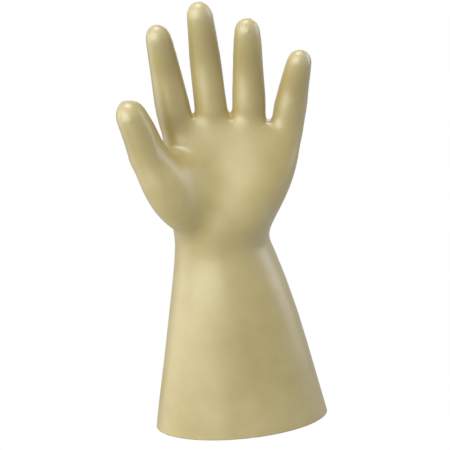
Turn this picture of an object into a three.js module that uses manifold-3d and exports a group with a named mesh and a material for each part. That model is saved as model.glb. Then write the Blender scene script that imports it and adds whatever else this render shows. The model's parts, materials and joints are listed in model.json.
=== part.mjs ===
import * as THREE from 'three';
import { mergeVertices } from 'three/addons/utils/BufferGeometryUtils.js';
import Module from 'manifold-3d';

const wasm = await Module();
wasm.setup();

// A left insulating glove with a flared gauntlet, in millimetres and degrees. It stands on
// its cut cuff rim at Z = 0: +Z runs up the cuff to the fingertips, the palm faces -Y and
// the thumb is at -X. One rubber shell of even thickness over a hand-shaped hollow,
// divided across each place where it bends.

const WALL = 2.0;                        // rubber thickness of a medium-voltage glove
const GAP = 0.25;                        // each section stops this far from a bend's axis
const PLAY = 1.2;                        // degrees of room beyond each limit
const DEPTH = 0.94;                      // a finger's depth over its width
const FACETS = 22;
const SHIFT = [-5.2, 9.1, 0];            // puts the middle of the outline over the origin

// Cuff and palm outline: height, centre X, centre Y, half width, half depth, and how
// square the section is (2 is an ellipse).
const CUFF = [
  [0, 2.0, 0.0, 72.2, 43.0, 2], [30, 2.2, 0.0, 66.2, 41.6, 2], [60, 2.6, 0.0, 60.0, 40.2, 2],
  [90, 2.6, 0.0, 53.8, 38.8, 2], [120, 2.0, 0.0, 46.9, 37.4, 2], [140, 1.0, 0.0, 42.2, 36.3, 2],
  [155, 0.0, -0.4, 39.2, 35.6, 2], [172, -0.6, -1.0, 38.4, 35.2, 2],
];
const PALM = [
  [138, 0.0, 0.6, 39.0, 34.6, 2], [150, -0.4, -1.0, 37.6, 34.2, 2],
  [160, -0.4, -3.6, 37.4, 33.4, 2], [172, 1.4, -6.0, 40.6, 32.6, 2.05],
  [186, 5.6, -7.4, 45.8, 30.8, 2.15], [200, 9.2, -7.9, 49.6, 28.4, 2.3],
  [216, 12.4, -8.2, 52.6, 25.2, 2.6], [232, 14.6, -8.6, 55.0, 21.2, 2.8],
  [246, 16.2, -9.1, 57.0, 17.2, 3.0], [256, 16.8, -9.5, 58.0, 14.6, 3.2],
  [266, 16.8, -10.0, 57.6, 12.8, 3.4],
];
const WRIST = { at: [0, -3, 155], low: -25, high: 30 };

// Each finger: root bend, lean to the side, turn about its own length, bend angles at rest,
// section lengths, half widths at the bends and at the dome, bend limits.
const FINGERS = {
  index: {
    at: [-28.9, -10.3, 275.5], lean: -4.8, turn: 0, curl: [8, 12, 10],
    long: [21.5, 20.5, 23.4], half: [13.6, 12.1, 10.9, 9.9], root: [25, 14.3],
    limits: [[-14, 55], [-8, 65], [-6, 40]], axis: [4.0, 4.6, 4.2],
  },
  middle: {
    at: [1.0, -9.5, 275.5], lean: -1.2, turn: 0, curl: [6, 12, 10],
    long: [28, 26, 25.6], half: [13.1, 12.2, 10.9, 9.9], root: [25, 13.9],
    limits: [[-12, 55], [-8, 65], [-6, 40]], axis: [4.0, 4.6, 4.2],
  },
  ring: {
    at: [31.3, -10.3, 272.5], lean: 3.0, turn: 0, curl: [9, 13, 11],
    long: [23, 22, 22.9], half: [13.6, 12.0, 10.9, 9.8], root: [25, 14.3],
    limits: [[-14, 55], [-8, 65], [-6, 40]], axis: [4.0, 4.6, 4.2],
  },
  little: {
    at: [62.9, -11.5, 262.0], lean: 13.0, turn: 0, curl: [13, 13, 11],
    long: [16.8, 15.8, 19.2], half: [13.3, 11.6, 10.5, 9.4], root: [24, 14.2],
    limits: [[-14, 50], [-8, 60], [-6, 40]], axis: [4.4, 4.8, 4.4],
  },
  thumb: {
    at: [-49.2, -39.0, 240.5], lean: -15.1, turn: 50, curl: [14.6, 4],
    long: [18.5, 31.8], half: [16.4, 14.2, 12.3], root: null,
    limits: [[-8, 25], [-8, 45]], axis: [5.0, 5.4],
  },
};
const BONES = { 2: ['proximal', 'distal'], 3: ['proximal', 'middle', 'distal'] };

// The ball of the thumb: from the heel of the hand up to the thumb's root bend, as
// distances along that line and half widths.
const THENAR = {
  from: [-22, -20, 172],
  outline: [[-1, 0], [0, 6.5], [2.5, 11.5], [7, 15.2], [14.5, 18.4], [25.5, 21.4], [37.5, 23.2],
    [50.5, 22.8], [61.5, 20.6], [69.5, 18.2], [84, 16.0]],
};
// The pad below the little finger: centre and half sizes.
const HEEL = { at: [21, -17, 186], half: [22, 19.5, 27], lean: 12 };
// The webs: palm height between the fingers, falling away towards the little finger.
const WEB = [[-45, 262], [-13, 266.4], [14.6, 263.8], [46, 252.8], [78, 243]];

const RAD = Math.PI / 180;

function solid(geometry) {
  const g = geometry.clone();
  g.deleteAttribute('normal');
  g.deleteAttribute('uv');
  const m = mergeVertices(g, 1e-4);
  return new wasm.Manifold(new wasm.Mesh({
    numProp: 3,
    vertProperties: new Float32Array(m.attributes.position.array),
    triVerts: new Uint32Array(m.index.array),
  }));
}

function shape(manifold) {
  const m = manifold.simplify(0.12).getMesh();
  const g = new THREE.BufferGeometry();
  g.setAttribute('position', new THREE.BufferAttribute(new Float32Array(m.vertProperties), 3));
  g.setIndex(new THREE.BufferAttribute(new Uint32Array(m.triVerts), 1));
  g.computeVertexNormals();
  return g;
}

// Value of a table's column at a height, straight between its rows.
function between(rows, at, column) {
  let i = 1;
  while (i < rows.length - 1 && rows[i][0] < at) i += 1;
  const [a, b] = [rows[i - 1], rows[i]];
  return a[column] + (b[column] - a[column]) * (at - a[0]) / (b[0] - a[0]);
}

// A stack of rounded sections through a table of outlines, shrunk by inset, with a closed top.
function stack(rows, inset, low, high, steps) {
  const g = new THREE.CylinderGeometry(1, 1, 1, 44, steps, false);
  g.rotateX(Math.PI / 2);
  const p = g.attributes.position;
  for (let i = 0; i < p.count; i += 1) {
    const t = p.getZ(i) + 0.5;
    let z = low + t * (high - low);
    const [c, d, square] = [p.getX(i), p.getY(i), 2 / between(rows, z, 5)];
    const [px, py] = [Math.sign(c) * Math.abs(c) ** square, Math.sign(d) * Math.abs(d) ** square];
    const x0 = between(rows, z, 1) + px * between(rows, z, 3);
    const top = typeof rows.top === 'function' ? rows.top(x0) - inset : high;
    z = low + t * (top - low);
    const across = between(rows, z, 3) - inset;
    const deep = between(rows, z, 4) - inset;
    p.setXYZ(i, between(rows, z, 1) + px * across, between(rows, z, 2) + py * deep, z);
  }
  return solid(g);
}

// A round-ended or flat-ended tapered tube along +Z from distances and half widths.
function tube(outline, deep = DEPTH) {
  const g = new THREE.LatheGeometry(outline.map(([z, r]) => new THREE.Vector2(r, z)), FACETS);
  g.rotateX(Math.PI / 2);
  g.scale(1, deep, 1);
  return solid(g);
}

// The wedge taken out at a bend, in the frame of the section below it: everything past two
// planes that meet at the bend's axis, open by palmar and dorsal degrees.
function wedge(axisY, z, palmar, dorsal, up) {
  const far = 60;
  const s = up ? 1 : -1;
  const at = z - s * GAP;
  const outline = [
    [axisY, at],
    [-far, at - s * Math.tan(palmar * RAD) * (far + axisY)],
    [-far, at + s * 3 * far], [far, at + s * 3 * far],
    [far, at - s * Math.tan(dorsal * RAD) * (far - axisY)],
  ];
  if (!up) outline.reverse();
  const flat = new THREE.Shape(outline.map(([y, h]) => new THREE.Vector2(y, h)));
  const g = new THREE.ExtrudeGeometry(flat, { depth: 2 * far, bevelEnabled: false });
  g.translate(0, 0, -far);
  g.applyMatrix4(new THREE.Matrix4().makeBasis(
    new THREE.Vector3(0, 1, 0), new THREE.Vector3(0, 0, 1), new THREE.Vector3(1, 0, 0)));
  return solid(g);
}

const opening = (curl, [low, high]) => ({
  palmar: (high + curl) / 2 + PLAY,
  dorsal: (-low - curl) / 2 + PLAY,
});

// A tapered section that runs through both its bends, as outer and inner surfaces.
function section(lower, upper, long, inset) {
  const slope = (upper - lower) / long;
  const past = 7;
  return [[-past, 0], [-past, lower - slope * past - inset],
    [long + past, upper + slope * past - inset], [long + past, 0]];
}

// The same for a fingertip, with a domed end.
function tip(lower, dome, long, inset) {
  const straight = long - 1.25 * dome;
  const past = 7;
  const slope = (dome - lower) / straight;
  const rows = [[-past, 0], [-past, lower - slope * past - inset], [straight, dome - inset]];
  for (let i = 1; i <= 5; i += 1) {
    const a = (i / 5) * Math.PI / 2;
    rows.push([straight + (1.25 * dome - inset) * Math.sin(a),
      i === 5 ? 0 : (dome - inset) * Math.cos(a)]);
  }
  return rows;
}

function rubber(tone) {
  return new THREE.MeshStandardMaterial({ color: tone, roughness: 0.55, metalness: 0 });
}

function place(mesh, name, parent) {
  mesh.name = name;
  parent.add(mesh);
  return mesh;
}

const glove = new THREE.Group();
glove.name = 'insulating_glove';
glove.position.set(...SHIFT);

// Wrist: the cuff and the palm meet at one cross bend.
const wristOpen = opening(0, [WRIST.low, WRIST.high]);
const [, wristY, wristZ] = WRIST.at;
const cuffTop = CUFF[CUFF.length - 1][0];
const cuff = stack(CUFF, 0, 0, cuffTop, 8)
  .subtract(stack(CUFF, WALL, -1, cuffTop + 1, 8))
  .subtract(wedge(wristY, wristZ, wristOpen.palmar, wristOpen.dorsal, true));
place(new THREE.Mesh(shape(cuff), rubber(0xc9bc8a)), 'cuff', glove);

// Palm: the body of the hand with the ball of the thumb, the heel pad and five finger
// roots, all hollow and open into each other.
PALM.top = (x) => between(WEB, x, 1);

function heel(inset) {
  const g = new THREE.SphereGeometry(1, 24, 14);
  g.scale(HEEL.half[0] - inset, HEEL.half[1] - inset, HEEL.half[2] - inset);
  g.rotateY(HEEL.lean * RAD);
  g.translate(...HEEL.at);
  return solid(g);
}

function thenar(inset) {
  const from = new THREE.Vector3(...THENAR.from);
  const along = new THREE.Vector3(...FINGERS.thumb.at).sub(from).normalize();
  const turned = new THREE.Quaternion().setFromUnitVectors(new THREE.Vector3(0, 0, 1), along);
  const rows = THENAR.outline.map(([z, r], i) => (
    i === 0 ? [z + inset, 0] : [z + (i < 3 ? inset * 0.6 : 0), r - inset]));
  rows.push([rows[rows.length - 1][0], 0]);
  const pose = new THREE.Matrix4().compose(from, turned, new THREE.Vector3(1, 1, 1));
  return tube(rows, 0.92).transform(pose.elements);
}

function frameOf(spec) {
  const holder = new THREE.Group();
  holder.position.set(...spec.at);
  holder.rotation.set(spec.curl[0] * RAD, spec.lean * RAD, spec.turn * RAD, 'YXZ');
  holder.updateMatrix();
  return holder;
}

const rootRows = (spec, inset) => {
  const [deep, wide] = spec.root;
  const slope = (wide - spec.half[0]) / deep;
  return [[-deep, 0], [-deep, wide - inset], [8, spec.half[0] - slope * 8 - inset], [8, 0]];
};

let outside = stack(PALM, 0, PALM[0][0], 266, 12).add(heel(0)).add(thenar(0));
let inside = stack(PALM, WALL, PALM[0][0] - 1, 266, 12).add(heel(WALL)).add(thenar(WALL));
for (const spec of Object.values(FINGERS)) {
  if (!spec.root) continue;
  const m = frameOf(spec).matrix.elements;
  outside = outside.add(tube(rootRows(spec, 0)).transform(m));
  inside = inside.add(tube(rootRows(spec, WALL)).transform(m));
}
let palm = outside.subtract(inside)
  .subtract(wedge(wristY, wristZ, wristOpen.palmar, wristOpen.dorsal, false));
for (const spec of Object.values(FINGERS)) {
  const open = opening(0, spec.limits[0]);
  const cut = wedge(-spec.axis[0], 0, open.palmar, open.dorsal, true);
  const near = new THREE.BoxGeometry(44, 44, 60);
  near.translate(0, 0, 12);
  palm = palm.subtract(cut.intersect(solid(near)).transform(frameOf(spec).matrix.elements));
}
place(new THREE.Mesh(shape(palm), rubber(0xcdbf90)), 'palm', glove);

// Fingers and thumb: nested frames, one per section, +Z along it and X across the bend.
for (const [name, spec] of Object.entries(FINGERS)) {
  const bones = BONES[spec.long.length];
  let holder = frameOf(spec);
  glove.add(holder);
  bones.forEach((bone, i) => {
    const long = spec.long[i];
    const last = i === bones.length - 1;
    const rows = (inset) => (last ? tip(spec.half[i], spec.half[i + 1], long, inset)
      : section(spec.half[i], spec.half[i + 1], long, inset));
    const open = opening(i === 0 ? 0 : spec.curl[i], spec.limits[i]);
    const bore = rows(WALL);
    bore[0] = [-9, 0];
    bore[1] = [-9, bore[1][1]];
    if (!last) {
      bore[2] = [long + 9, bore[2][1]];
      bore[3] = [long + 9, 0];
    }
    let body = tube(rows(0)).subtract(tube(bore))
      .subtract(wedge(-spec.axis[i], 0, open.palmar, open.dorsal, false));
    if (!last) {
      const next = opening(spec.curl[i + 1], spec.limits[i + 1]);
      body = body.subtract(wedge(-spec.axis[i + 1], long, next.palmar, next.dorsal, true));
    }
    const tone = last ? 0xd6c99a : 0xd0c294;
    place(new THREE.Mesh(shape(body), rubber(tone)), `${name}_${bone}`, holder);
    if (!last) {
      const [turn, axis] = [spec.curl[i + 1] * RAD, spec.axis[i + 1]];
      const next = new THREE.Group();
      next.position.set(0, axis * (Math.cos(turn) - 1), long + axis * Math.sin(turn));
      next.rotation.x = turn;
      holder.add(next);
      holder = next;
    }
  });
}

export default glove;
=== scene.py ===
import json
import math

import bmesh
import bpy
from mathutils import Matrix, Vector


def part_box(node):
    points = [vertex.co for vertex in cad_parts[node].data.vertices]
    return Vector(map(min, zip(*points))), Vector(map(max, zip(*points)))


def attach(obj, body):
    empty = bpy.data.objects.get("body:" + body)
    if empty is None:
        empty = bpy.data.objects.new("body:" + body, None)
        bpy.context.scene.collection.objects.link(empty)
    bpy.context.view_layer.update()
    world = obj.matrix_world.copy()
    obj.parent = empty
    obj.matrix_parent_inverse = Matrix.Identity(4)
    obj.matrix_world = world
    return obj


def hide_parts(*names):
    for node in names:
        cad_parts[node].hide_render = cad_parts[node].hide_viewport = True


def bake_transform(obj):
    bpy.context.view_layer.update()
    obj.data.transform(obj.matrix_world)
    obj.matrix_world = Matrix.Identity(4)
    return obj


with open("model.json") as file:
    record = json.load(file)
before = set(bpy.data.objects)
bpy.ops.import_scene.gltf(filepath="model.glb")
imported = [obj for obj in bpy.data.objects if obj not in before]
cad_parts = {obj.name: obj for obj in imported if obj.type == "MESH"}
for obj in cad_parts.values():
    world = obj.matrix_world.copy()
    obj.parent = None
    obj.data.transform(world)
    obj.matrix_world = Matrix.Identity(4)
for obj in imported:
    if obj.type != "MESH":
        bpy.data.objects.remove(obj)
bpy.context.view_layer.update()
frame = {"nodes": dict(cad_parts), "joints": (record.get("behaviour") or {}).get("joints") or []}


# Cuff and hand. The glove is one dipped shell of natural latex, formed on a hand-shaped
# former: a flared gauntlet that narrows to the wrist, the hand with the ball of the
# thumb and the heel pad, and five digits that grow out of it without a seam.
MM = 0.001
low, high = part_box("cuff")
RIM_SHIFT = 2.0 * MM                     # the rim's middle lies this far from the arm's axis
AXIS_X = (low.x + high.x) / 2 - RIM_SHIFT
AXIS_Y = (low.y + high.y) / 2
joint = {j["name"]: j for j in frame["joints"]}
RING_POINTS = 48

# Height, centre across, centre back, half width, half depth, squareness of the section.
OUTLINE = [
    (-8, 2.0, 0.0, 73.9, 43.4, 2.0), (0, 2.0, 0.0, 72.2, 43.0, 2.0),
    (14, 2.0, 0.0, 69.5, 42.4, 2.0), (30, 2.2, 0.0, 66.2, 41.6, 2.0),
    (60, 2.6, 0.0, 60.0, 40.2, 2.0), (90, 2.6, 0.0, 53.8, 38.8, 2.0),
    (120, 2.0, 0.0, 46.9, 37.4, 2.0), (140, 1.0, 0.2, 42.0, 36.0, 2.0),
    (150, 0.2, 0.0, 39.6, 35.2, 2.0), (158, -0.4, -1.4, 38.2, 34.2, 2.0),
    (166, 0.8, -4.4, 39.4, 33.4, 2.0), (175, 2.8, -6.4, 42.6, 32.6, 2.05),
    (188, 6.4, -7.6, 47.0, 30.8, 2.15), (202, 10.0, -8.1, 50.6, 28.4, 2.3),
    (217, 12.9, -8.2, 53.3, 24.2, 2.4), (232, 14.9, -8.4, 55.3, 18.2, 2.5),
    (245, 16.3, -8.8, 57.3, 13.2, 2.6), (254, 16.9, -9.0, 57.5, 10.4, 2.7),
]
WEBS = [(-45, 260), (-13, 264.0), (14.6, 261.0), (46, 250.5), (78, 240)]


def ring(bm, place, across, deep, square=2.0, points=RING_POINTS):
    made = bmesh.ops.create_circle(bm, cap_ends=False, radius=1.0, segments=points)["verts"]
    for v in made:
        x, y = v.co.x, v.co.y
        v.co.x = math.copysign(abs(x) ** (2 / square), x) * across
        v.co.y = math.copysign(abs(y) ** (2 / square), y) * deep
    bmesh.ops.transform(bm, matrix=place, verts=made)
    return made


def skin_over(bm, rings):
    loops = [list({e for v in r for e in v.link_edges}) for r in rings]
    for below, above in zip(loops, loops[1:]):
        bmesh.ops.bridge_loops(bm, edges=below + above)
    for end in (rings[0], rings[-1]):
        bmesh.ops.contextual_create(bm, geom=end)


def web_height(x):
    for (x0, z0), (x1, z1) in zip(WEBS, WEBS[1:]):
        if x <= x1 or x1 == WEBS[-1][0]:
            return z0 + (z1 - z0) * (x - x0) / (x1 - x0)


former = bmesh.new()
rings = []
for z, cx, cy, across, deep, square in OUTLINE:
    place = Matrix.Translation((AXIS_X + cx * MM, AXIS_Y + cy * MM, z * MM))
    rings.append(ring(former, place, across * MM, deep * MM, square))
for inset in (0.0, 2.2):                 # the palm's top edge, rounded over in two rings
    top = ring(former, Matrix.Translation((AXIS_X + 16.7 * MM, AXIS_Y - 10 * MM, 0)),
               (56.2 - inset) * MM, (8.0 - inset) * MM, 2.7)
    for v in top:
        v.co.z = (web_height((v.co.x - AXIS_X) / MM) - 3.0 + inset) * MM
    rings.append(top)
skin_over(former, rings)

# The heel pad under the little finger is a low swelling of the same shell.
pad = bmesh.ops.create_uvsphere(former, u_segments=32, v_segments=20, radius=1.0)["verts"]
bmesh.ops.transform(former, verts=pad, matrix=(
    Matrix.Translation((AXIS_X + 21 * MM, AXIS_Y - 15.5 * MM, 188 * MM))
    @ Matrix.Rotation(math.radians(14), 4, "Y")
    @ Matrix.Diagonal((25 * MM, 23.0 * MM, 30 * MM, 1))))


# Between the thumb and the palm the shell is a broad web, not a crease.
web = bmesh.ops.create_uvsphere(former, u_segments=28, v_segments=18, radius=1.0)["verts"]
bmesh.ops.transform(former, verts=web, matrix=(
    Matrix.Translation((AXIS_X - 18 * MM, AXIS_Y - 20 * MM, 205 * MM))
    @ Matrix.Rotation(math.radians(-20), 4, "Y")
    @ Matrix.Diagonal((23 * MM, 21 * MM, 36 * MM, 1))))


# Digits. Each finger and the thumb is a round-ended tube of the same latex, set lightly
# curled by the former, flattened a little from front to back and tapering to its tip.
DIGITS = {
    "index": dict(bends=("mcp", "pip", "dip"), back=(4.0, 4.6, 4.2), root=26, root_half=14.2,
                  half=(13.6, 12.2, 11.0), dome=10.2),
    "middle": dict(bends=("mcp", "pip", "dip"), back=(4.0, 4.6, 4.2), root=26, root_half=13.3,
                   half=(12.7, 12.3, 11.0), dome=10.2),
    "ring": dict(bends=("mcp", "pip", "dip"), back=(4.0, 4.6, 4.2), root=26, root_half=13.6,
                 half=(13.2, 12.0, 11.0), dome=10.1),
    "little": dict(bends=("mcp", "pip", "dip"), back=(4.4, 4.8, 4.4), root=25, root_half=13.6,
                   half=(13.3, 11.7, 10.6), dome=9.7),
    "thumb": dict(bends=("mcp", "ip"), back=(5.0, 5.4), half=(16.5, 14.4), dome=12.6),
}
# The ball of the thumb, by distance below the thumb's root bend.
BALL = [(-76, 6.0), (-74, 10.5), (-69, 15.6), (-61, 19.4), (-50, 22.4), (-38, 23.8),
        (-25, 23.0), (-14, 20.6), (-6, 18.2)]
FINGER_DEPTH = 0.94
BALL_DEPTH = 0.82
DOME_LENGTH = 1.25                       # a dome's length over its half width
DOME_RINGS = 6


def curve(points, t):
    spans = len(points) - 1
    i = min(int(t * spans), spans - 1)
    u = t * spans - i
    a = points[max(i - 1, 0)]
    b, c = points[i], points[i + 1]
    d = points[min(i + 2, spans)]
    return 0.5 * (2 * b + (c - a) * u + (2 * a - 5 * b + 4 * c - d) * u * u
                  + (3 * b - a - 3 * c + d) * u ** 3)


digit = {}
for name, spec in DIGITS.items():
    bends = [joint[f"{name}_{b}"] for b in spec["bends"]]
    pivots = [Vector(b["pos_m"]) for b in bends]
    across = Vector(bends[0]["axis"])
    if name == "thumb":
        across = -across
    tip = max((v.co.copy() for v in frame["nodes"][f"{name}_distal"].data.vertices),
              key=lambda p: (p - pivots[-1]).length)
    ends = pivots[1:] + [tip]
    ways = [(e - p).normalized() for p, e in zip(pivots, ends)]
    centres = [p + w.cross(across).normalized() * b * MM
               for p, w, b in zip(pivots, ways, spec["back"])]
    ways = [(e - c).normalized() for c, e in zip(centres, centres[1:] + [tip])]
    digit[name] = dict(centres=centres, ways=ways, tip=tip, across=across,
                       half=[h * MM for h in spec["half"]])


def stand(at, way, across):
    side = (across - way * across.dot(way)).normalized()
    back = way.cross(side)
    return Matrix.Translation(at) @ Matrix((side, back, way)).transposed().to_4x4()


for name, spec in DIGITS.items():
    d = digit[name]
    centres, tip, across = d["centres"], d["tip"], d["across"]
    rings = []
    if name == "thumb":
        heel = Vector((AXIS_X - 16 * MM, AXIS_Y - 23 * MM, 171 * MM))
        along = (centres[0] - heel).normalized()
        for s, half in BALL:
            rings.append(ring(former, stand(centres[0] + along * s * MM, along, across),
                              half * MM, half * BALL_DEPTH * MM, points=40))
    else:
        root = centres[0] - d["ways"][0] * spec["root"] * MM
        rings.append(ring(former, stand(root, d["ways"][0], across), spec["root_half"] * MM,
                          spec["root_half"] * FINGER_DEPTH * MM, points=40))
    cap = DOME_LENGTH * spec["dome"] * MM
    neck = tip - d["ways"][-1] * cap
    knots = centres + [neck]
    halves = list(spec["half"]) + [spec["dome"]]
    steps = 4 * (len(knots) - 1)
    for k in range(steps + 1):
        t = k / steps
        at = curve(knots, t)
        way = (curve(knots, min(t + 0.02, 1)) - curve(knots, max(t - 0.02, 0))).normalized()
        half = curve([Vector((h, 0, 0)) for h in halves], t).x
        rings.append(ring(former, stand(at, way, across), half * MM,
                          half * FINGER_DEPTH * MM, points=40))
    for k in range(1, DOME_RINGS + 1):
        a = math.radians(90 * k / (DOME_RINGS + 0.4))
        rings.append(ring(former, stand(neck + d["ways"][-1] * cap * math.sin(a),
                                        d["ways"][-1], across),
                          spec["dome"] * math.cos(a) * MM,
                          spec["dome"] * math.cos(a) * FINGER_DEPTH * MM, points=40))
    skin_over(former, rings)


# The shell. Dipping runs the surfaces together into one skin, rounds the webs between
# the digits, and leaves a wall of even thickness. The cuff is then cut straight.
VOXEL = 1.4 * MM
WALL = 2.0 * MM
ROUNDS = 12
HAND_ROUNDS = 110


def applied(mesh, kind, **settings):
    holder = bpy.data.objects.new("holder", mesh)
    bpy.context.scene.collection.objects.link(holder)
    step = holder.modifiers.new("step", kind)
    for key, value in settings.items():
        setattr(step, key, value)
    made = bpy.data.meshes.new_from_object(
        holder.evaluated_get(bpy.context.evaluated_depsgraph_get()))
    bpy.data.objects.remove(holder)
    return made


bmesh.ops.recalc_face_normals(former, faces=former.faces)
mesh = bpy.data.meshes.new("former")
former.to_mesh(mesh)
former.free()
mesh = applied(mesh, "REMESH", mode="VOXEL", voxel_size=VOXEL)

skin = bmesh.new()
skin.from_mesh(mesh)
for _ in range(ROUNDS):
    bmesh.ops.smooth_vert(skin, verts=skin.verts, factor=0.5,
                          use_axis_x=True, use_axis_y=True, use_axis_z=True)


# The heights between which the hand's extra rounding starts above the wrist, and ends at
# the thumb, below the fingers, and on the little finger's edge.
STARTS, THUMB_ENDS, FINGERS_END, EDGE_ENDS = (150, 166), (208, 238), (252, 266), (230, 266)
THUMB_SIDE, THUMB_SLANT, EDGE_SIDE = -38, 0.1, 42


def softness(co):
    x, z = (co.x - AXIS_X) / MM, co.z / MM
    if x > EDGE_SIDE:
        full, gone = EDGE_ENDS
    elif x < THUMB_SIDE - (z - 200) * THUMB_SLANT:
        full, gone = THUMB_ENDS
    else:
        full, gone = FINGERS_END
    return min((z - STARTS[0]) / (STARTS[1] - STARTS[0]), (gone - z) / (gone - full), 1)


soft = {v: softness(v.co) for v in skin.verts}
for k in range(HAND_ROUNDS):
    zone_now = [v for v, share in soft.items() if share > k / HAND_ROUNDS]
    bmesh.ops.smooth_vert(skin, verts=zone_now, factor=0.5,
                          use_axis_x=True, use_axis_y=True, use_axis_z=True)

# The palm sinks a little between the ball of the thumb and the heel pad.
HOLLOW_X, HOLLOW_Z, HOLLOW_SINK = AXIS_X + 8 * MM, 220 * MM, 3.2 * MM
HOLLOW_WIDE, HOLLOW_TALL = 27 * MM, 28 * MM
PALM_BEFORE, PALM_FADE = AXIS_Y - 8 * MM, 8 * MM
for v in skin.verts:
    if v.co.y < PALM_BEFORE:
        off = ((v.co.x - HOLLOW_X) / HOLLOW_WIDE) ** 2 + ((v.co.z - HOLLOW_Z) / HOLLOW_TALL) ** 2
        v.co.y += HOLLOW_SINK * math.exp(-off) * min(1, (PALM_BEFORE - v.co.y) / PALM_FADE)
bmesh.ops.bisect_plane(skin, geom=skin.verts[:] + skin.edges[:] + skin.faces[:], dist=1e-6,
                       plane_co=(0, 0, 0), plane_no=(0, 0, -1), clear_outer=True)
skin.to_mesh(mesh)
skin.free()
mesh = applied(mesh, "SOLIDIFY", thickness=WALL, offset=-1.0, use_even_offset=False,
               use_rim=True)

# Each zone of the skin is parted from the next across the middle of a section, where it
# moves with one body only, so that the zones stay joined as the glove bends.
skin = bmesh.new()
skin.from_mesh(mesh)


def part(at, way, reach):
    faces = [f for f in skin.faces if (f.calc_center_median() - at).length < reach]
    geom = list({v for f in faces for v in f.verts} | {e for f in faces for e in f.edges})
    bmesh.ops.bisect_plane(skin, geom=geom + faces, dist=1e-6, plane_co=at, plane_no=way)


ROOT_BELOW = {"index": 7.5, "middle": 7.5, "ring": 7.0, "little": 6.5, "thumb": 9.0}
WRIST_LOW, WRIST_HIGH = 126 * MM, 180 * MM
HAND_REACH, DIGIT_REACH, DIGIT_NEAR = 90 * MM, 1.65, 1.5
part(Vector((AXIS_X, AXIS_Y, WRIST_HIGH)), Vector((0, 0, 1)), HAND_REACH)
for name, d in digit.items():
    centres, ways = d["centres"], d["ways"]
    ends = centres[1:] + [d["tip"]]
    cuts = [(centres[0] - ways[0] * ROOT_BELOW[name] * MM, ways[0])]
    for at, end, way in list(zip(centres, ends, ways))[:-1]:
        cuts.append(((at + end) / 2, way))
    d["cuts"] = cuts
    for at, way in cuts:
        part(at, way, d["half"][0] * DIGIT_REACH)

skin.normal_update()
kept = skin.verts.layers.float_vector.new("smooth_normal")
for v in skin.verts:
    v[kept] = v.normal

# Painted light and shade near the fingertips: the tips, whose tops face the ceiling light, are
# painted paler, and a band just below them, where the curled fingers face down, is painted
# darker.
TIP_LIGHT_REACH, TIP_SHADE_AT, TIP_SHADE_WIDE = 13 * MM, 33 * MM, 19 * MM
drained = skin.verts.layers.float.new("drained")
pooled = skin.verts.layers.float.new("pooled")
for v in skin.verts:
    off = min((v.co - d["tip"]).length for d in digit.values())
    # painted light: paler towards each fingertip
    v[drained] = math.exp(-(off / TIP_LIGHT_REACH) ** 2)
    # painted shade: darker in a band a little below each fingertip
    v[pooled] = math.exp(-((off - TIP_SHADE_AT) / TIP_SHADE_WIDE) ** 2)


def off_line(p, a, b):
    t = max(0.0, min(1.0, (p - a).dot(b - a) / (b - a).length_squared))
    return (p - a - (b - a) * t).length


def zone(p):
    best = None
    for name, d in digit.items():
        start, way = d["cuts"][0]
        if (p - start).dot(way) <= 0:
            continue
        line = [start] + d["centres"] + [d["tip"]]
        far = min(off_line(p, a, b) for a, b in zip(line, line[1:]))
        if far < d["half"][0] * DIGIT_NEAR and (best is None or far < best[0]):
            best = (far, name)
    if best:
        d = digit[best[1]]
        level = sum((p - at).dot(way) > 0 for at, way in d["cuts"][1:])
        return (best[1], level)
    return ("hand", 1) if p.z > WRIST_HIGH else ("hand", 0)


zones = {}
for f in skin.faces:
    zones.setdefault(zone(f.calc_center_median()), []).append(f.index)


# Natural latex. Cured cream rubber with a satin, slightly waxy skin: olive and honey tints drift
# slowly over the surface. A darker olive below the fingertips is painted shade, and the pale tips
# are painted light.
class Sock:
    """A shader socket on which Python's arithmetic adds Math nodes."""

    def __init__(self, tree, socket):
        self.tree, self.socket = tree, socket

    def _math(self, operation, a, b):
        return node(self.tree, "ShaderNodeMath", {"operation": operation}, {0: a, 1: b})

    def __add__(self, other):
        return self._math("ADD", self, other)

    def __mul__(self, other):
        return self._math("MULTIPLY", self, other)

    __radd__ = __add__
    __rmul__ = __mul__


def node(tree, kind, settings=None, inputs=None, output=0):
    made = tree.nodes.new(kind)
    for key, value in (settings or {}).items():
        if key == "stops":
            while len(made.color_ramp.elements) < len(value):
                made.color_ramp.elements.new(0.5)
            for element, (at, colour) in zip(made.color_ramp.elements, value):
                element.position, element.color = at, (*colour, 1)
        else:
            setattr(made, key, value)
    for key, value in (inputs or {}).items():
        if isinstance(value, Sock):
            tree.links.new(value.socket, made.inputs[key])
        else:
            made.inputs[key].default_value = value
    return Sock(tree, made.outputs[output]) if output is not None else None


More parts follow.
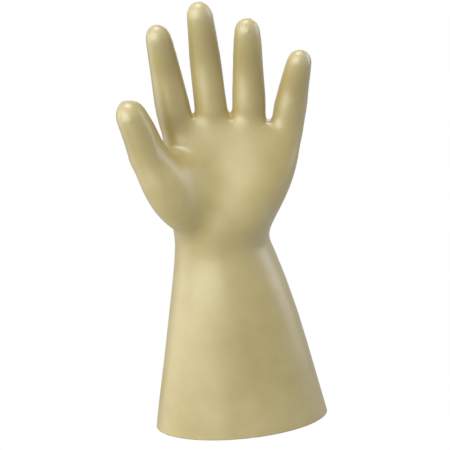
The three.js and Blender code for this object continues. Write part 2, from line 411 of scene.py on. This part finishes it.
def latex(name, warmth):
    material = bpy.data.materials.new(name)
    material.use_nodes = True
    tree = material.node_tree
    shader = tree.nodes["Principled BSDF"]
    place = node(tree, "ShaderNodeTexCoord", output="Object")
    clouds = node(tree, "ShaderNodeTexNoise", {}, {"Vector": place, "Scale": 16.0,
                                                   "Detail": 3.0, "Roughness": 0.55})
    drift = node(tree, "ShaderNodeTexNoise", {}, {"Vector": place, "Scale": 55.0,
                                                  "Detail": 4.0, "Roughness": 0.6})
    grain = node(tree, "ShaderNodeTexNoise", {}, {"Vector": place, "Scale": 900.0,
                                                  "Detail": 2.0, "Roughness": 0.6})
    tone = node(tree, "ShaderNodeValToRGB",
                {"stops": [(0.28, (0.49, 0.385, 0.125)), (0.5, (0.59, 0.488, 0.190)),
                           (0.74, (0.68, 0.590, 0.290))]},
                {0: clouds * 0.7 + drift * 0.3})
    tint = node(tree, "ShaderNodeMix", {"data_type": "RGBA", "blend_type": "MIX"},
                {"Factor": warmth, "A": tone, "B": (0.61, 0.50, 0.205, 1)}, output=2)
    # Painted shade: the base colour is mixed, in patches, towards a dark olive below the
    # fingertips.
    tip_shade_share = node(tree, "ShaderNodeAttribute", {"attribute_name": "pooled"}, output="Fac")
    with_tip_shade = node(tree, "ShaderNodeMix", {"data_type": "RGBA", "blend_type": "MIX"},
                 {"Factor": tip_shade_share * (clouds * 1.1), "A": tint, "B": (0.47, 0.37, 0.125, 1)},
                 output=2)
    # Painted light: the base colour is mixed towards a pale cream near the fingertips.
    tip_light_share = node(tree, "ShaderNodeAttribute", {"attribute_name": "drained"}, output="Fac")
    with_tip_light = node(tree, "ShaderNodeMix", {"data_type": "RGBA", "blend_type": "MIX"},
                {"Factor": tip_light_share * 0.6, "A": with_tip_shade, "B": (0.72, 0.645, 0.385, 1)}, output=2)
    tree.links.new(with_tip_light.socket, shader.inputs["Base Color"])
    rough = drift * 0.08 + grain * 0.05 + 0.33
    tree.links.new(rough.socket, shader.inputs["Roughness"])
    bump = node(tree, "ShaderNodeBump", {}, {"Strength": 0.35, "Distance": 0.0008,
                                             "Height": clouds * 0.5 + drift * 0.4 + grain * 0.04})
    tree.links.new(bump.socket, shader.inputs["Normal"])
    shader.inputs["IOR"].default_value = 1.52
    shader.inputs["Coat Weight"].default_value = 1.0
    shader.inputs["Coat Roughness"].default_value = 0.38
    shader.inputs["Coat IOR"].default_value = 1.85
    return material


def zone_piece(name, faces, material, node_name):
    keep = set(faces)
    piece = skin.copy()
    piece.faces.ensure_lookup_table()
    bmesh.ops.delete(piece, geom=[f for f in piece.faces if f.index not in keep],
                     context="FACES")
    shell = bpy.data.meshes.new(name)
    piece.to_mesh(shell)
    piece.free()
    normals = [v.vector.copy() for v in shell.attributes["smooth_normal"].data]
    shell.attributes.remove(shell.attributes["smooth_normal"])
    shell.shade_smooth()
    shell.normals_split_custom_set_from_vertices(normals)
    shell.materials.append(material)
    obj = bpy.data.objects.new(name, shell)
    bpy.context.scene.collection.objects.link(obj)
    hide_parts(node_name)
    return obj


# Gauntlet and hand zones: the palm and back of the hand stay in one shape, and the cuff
# with the wrist is a piece of its own.
cuff_latex = latex("cuff latex", 0.10)
cuff = zone_piece("gauntlet", zones[("hand", 0)], cuff_latex, "cuff")
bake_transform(cuff)
hand = zone_piece("hand", zones[("hand", 1)], cuff_latex, "palm")
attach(hand, "palm")

# Digit zones: root, middle and tip of each finger, root and tip of the thumb, each made
# as a piece of its own.
finger_latex = latex("finger latex", 0.28)
tip_latex = latex("fingertip latex", 0.28)
BONES = {3: ("proximal", "middle", "distal"), 2: ("proximal", "distal")}
END_ROOM = 1.6 * MM                      # a bend is over this far before its zone's edge
for name, d in digit.items():
    bones = BONES[len(d["centres"])]
    cuts = d["cuts"] + [(d["tip"], d["ways"][-1])]
    for level, bone in enumerate(bones):
        body = f"{name}_{bone}"
        last = level == len(bones) - 1
        piece = zone_piece(f"{name}_{('root', 'mid', 'tip')[level]}", zones[(name, level)],
                           tip_latex if last else finger_latex, body)
        start, way = cuts[level]
        if level == 0:
            end = cuts[1][0]
            end = start + way * (end - start).dot(way)
        else:
            length = (d["centres"][level] - start).length
            way = (d["ways"][level - 1] + d["ways"][level]).normalized()
            start = d["centres"][level] - way * (length - END_ROOM)
            end = d["centres"][level] + way * (length - END_ROOM)
        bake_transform(piece)
skin.free()


# View, light and background: a long lens a little above the hand, a broad soft window on
# the left, a ceiling light, weaker ones at both edges and behind, and a white surround.
scene = bpy.context.scene
scene.view_settings.view_transform = "Standard"
target = Vector((AXIS_X + 3.4 * MM, AXIS_Y, 169 * MM))
rise, roll, far = math.radians(16.11), math.radians(-5.49), 1.1
ahead = Vector((0, math.cos(rise), -math.sin(rise)))
right, up = Vector((1, 0, 0)), Vector((0, math.sin(rise), math.cos(rise)))
side = right * math.cos(roll) + up * math.sin(roll)
head = -right * math.sin(roll) + up * math.cos(roll)
lens = bpy.data.cameras.new("camera")
lens.lens, lens.sensor_width = 109.0, 36.0
camera = bpy.data.objects.new("camera", lens)
camera.matrix_world = (Matrix.Translation(target - ahead * far)
                       @ Matrix((side, head, -ahead)).transposed().to_4x4())
scene.collection.objects.link(camera)
scene.camera = camera


def lamp(name, at, wide, tall, watts, colour):
    light = bpy.data.lights.new(name, "AREA")
    light.shape, light.size, light.size_y = "RECTANGLE", wide, tall
    light.energy, light.color = watts, colour
    obj = bpy.data.objects.new(name, light)
    obj.matrix_world = (Matrix.Translation(at) @ (target - Vector(at)).to_track_quat(
        "-Z", "Y").to_matrix().to_4x4())
    scene.collection.objects.link(obj)


lamp("window", (-0.90, -1.12, 0.42), 1.7, 1.3, 15.8, (1.0, 0.995, 0.98))
lamp("ceiling", (-0.15, -0.30, 1.55), 0.9, 0.7, 8.0, (1.0, 0.99, 0.97))
lamp("edge", (-1.15, 0.10, 0.16), 0.8, 1.1, 2.6, (1.0, 1.0, 1.0))
lamp("fill", (0.35, 1.35, 0.75), 1.5, 1.2, 9.0, (1.0, 0.99, 0.97))
lamp("bounce", (1.05, 0.12, 0.40), 0.6, 1.0, 3.4, (0.88, 0.88, 1.0))

world = bpy.data.worlds.new("surround")
scene.world = world
world.use_nodes = True
tree = world.node_tree
tree.nodes.clear()
dim = node(tree, "ShaderNodeBackground", {}, {"Color": (1, 1, 1, 1), "Strength": 0.27})
white = node(tree, "ShaderNodeBackground", {}, {"Color": (1, 1, 1, 1), "Strength": 1.0})
seen = (node(tree, "ShaderNodeLightPath", output="Is Camera Ray")
        + node(tree, "ShaderNodeLightPath", output="Is Glossy Ray") * 0.25)
mixed = node(tree, "ShaderNodeMixShader", {}, {0: seen, 1: dim, 2: white})
node(tree, "ShaderNodeOutputWorld", {}, {"Surface": mixed}, output=None)
